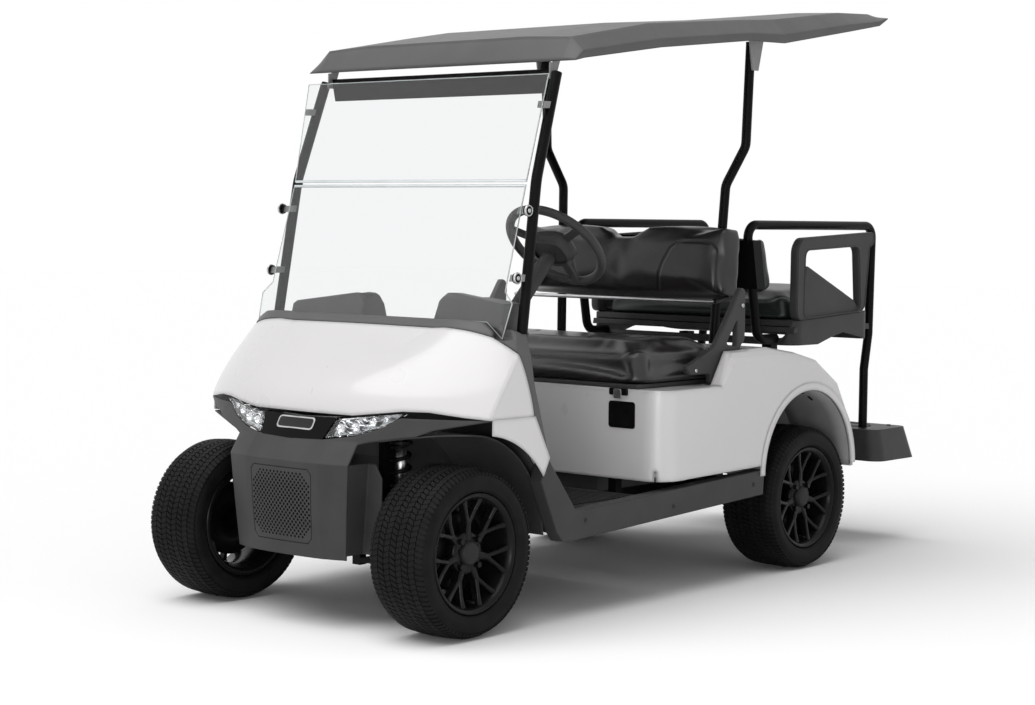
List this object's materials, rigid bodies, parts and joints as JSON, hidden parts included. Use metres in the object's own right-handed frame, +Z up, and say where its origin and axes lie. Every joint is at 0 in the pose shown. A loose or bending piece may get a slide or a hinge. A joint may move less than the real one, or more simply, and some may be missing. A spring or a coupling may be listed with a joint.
{
  "type": "golf cart",
  "caption": "Open electric golf cart with a sloping nose, canopy on struts, folding clear windshield, forward bench, rear-facing bench with grab loops and a footrest on black alloy wheels.",
  "frame": {"origin": "on the ground under the middle of the overall length and width", "axes": "+X to the cart's left (driver) side, +Y to the rear, +Z up; the front faces -Y"},
  "size_m": [1.17, 2.808, 1.9194],
  "materials": {
    "black_steel": "satin",
    "grey_steel": "satin",
    "painted_body": "gloss",
    "dark_plastic": "textured matte",
    "rubber_mat": "matte",
    "gloss_panel": "gloss",
    "clear_plastic": "clear",
    "battery_case": "matte",
    "vinyl": "satin",
    "tyre": "matte",
    "black_alloy": "satin"
  },
  "bodies": {
    "chassis": {"frame_rails": "black_steel", "floor_pan": "dark_plastic", "floor_mat": "rubber_mat", "front_cowl": "painted_body", "bumper_fascia": "dark_plastic", "lamp_panel": "gloss_panel", "headlamps": "clear_plastic", "front_liners": "dark_plastic", "rocker_panels": "dark_plastic", "dash": "dark_plastic", "rear_body": "painted_body", "battery_pack": "battery_case", "rear_axle": "black_steel", "leaf_springs": "black_steel", "front_suspension": "black_steel", "rack_housing": "black_steel", "steering_column": "dark_plastic", "canopy_struts": "black_steel", "canopy_brackets": "grey_steel", "canopy_crossbar": "black_steel", "roof": "dark_plastic", "windshield": "clear_plastic", "backrest_front": "vinyl", "backrest_rear": "vinyl", "backrest_frame": "black_steel", "hip_restraints": "dark_plastic", "rear_seat_base": "dark_plastic", "armrests": "dark_plastic", "side_loops": "black_steel", "footrest": "dark_plastic", "pedals": "black_steel"},
    "front_seat": {"seat_board_front": "dark_plastic", "seat_cushion_front": "vinyl"},
    "rear_seat": {"rear_cushion": "vinyl"},
    "knuckle_l": {"knuckle_left": "black_steel"},
    "knuckle_r": {"knuckle_right": "black_steel"},
    "steering": {"steering_wheel": "dark_plastic"},
    "rack": {"tie_rods": "black_steel"},
    "wheel_fl": {"tyre_fl": "tyre", "rim_fl": "black_alloy"},
    "wheel_fr": {"tyre_fr": "tyre", "rim_fr": "black_alloy"},
    "wheel_rl": {"tyre_rl": "tyre", "rim_rl": "black_alloy"},
    "wheel_rr": {"tyre_rr": "tyre", "rim_rr": "black_alloy"}
  },
  "joints": [
    {"name": "steer_left", "type": "hinge", "parent": "chassis", "child": "knuckle_l", "pos_m": [0.375, -1.169, 0.243], "axis": [0, 0, 1], "range_deg": [-28, 28]},
    {"name": "steer_right", "type": "hinge", "parent": "chassis", "child": "knuckle_r", "pos_m": [-0.375, -1.169, 0.243], "axis": [0, 0, 1], "range_deg": [-28.1, 28.1]},
    {"name": "steering_wheel_turn", "type": "hinge", "parent": "chassis", "child": "steering", "pos_m": [0.28, -0.493, 1.099], "axis": [0, 0.6984, 0.7157], "range_deg": [-337, 337]},
    {"name": "rack_slide", "type": "slide", "parent": "chassis", "child": "rack", "axis": [1, 0, 0], "range_m": [-0.0466, 0.0466]},
    {"name": "spin_fl", "type": "hinge", "parent": "knuckle_l", "child": "wheel_fl", "pos_m": [0.468, -1.169, 0.243], "axis": [1, 0, 0], "continuous": true},
    {"name": "spin_fr", "type": "hinge", "parent": "knuckle_r", "child": "wheel_fr", "pos_m": [-0.468, -1.169, 0.243], "axis": [1, 0, 0], "continuous": true},
    {"name": "spin_rl", "type": "hinge", "parent": "chassis", "child": "wheel_rl", "pos_m": [0.468, 0.533, 0.243], "axis": [1, 0, 0], "continuous": true},
    {"name": "spin_rr", "type": "hinge", "parent": "chassis", "child": "wheel_rr", "pos_m": [-0.468, 0.533, 0.243], "axis": [1, 0, 0], "continuous": true},
    {"name": "front_seat_lift", "type": "hinge", "parent": "chassis", "child": "front_seat", "pos_m": [0, -0.318, 0.66], "axis": [1, 0, 0], "range_deg": [0, 70]},
    {"name": "rear_seat_flip", "type": "hinge", "parent": "chassis", "child": "rear_seat", "pos_m": [0, 1.083, 0.862], "axis": [-1, 0, 0], "range_deg": [0, 27]}
  ],
  "couplings": [
    {"joint": "steer_right", "follows": "steer_left", "ratio": 1},
    {"joint": "steering_wheel_turn", "follows": "steer_left", "ratio": 12},
    {"joint": "rack_slide", "follows": "steer_left", "m_per_rad": -0.0951}
  ]
}
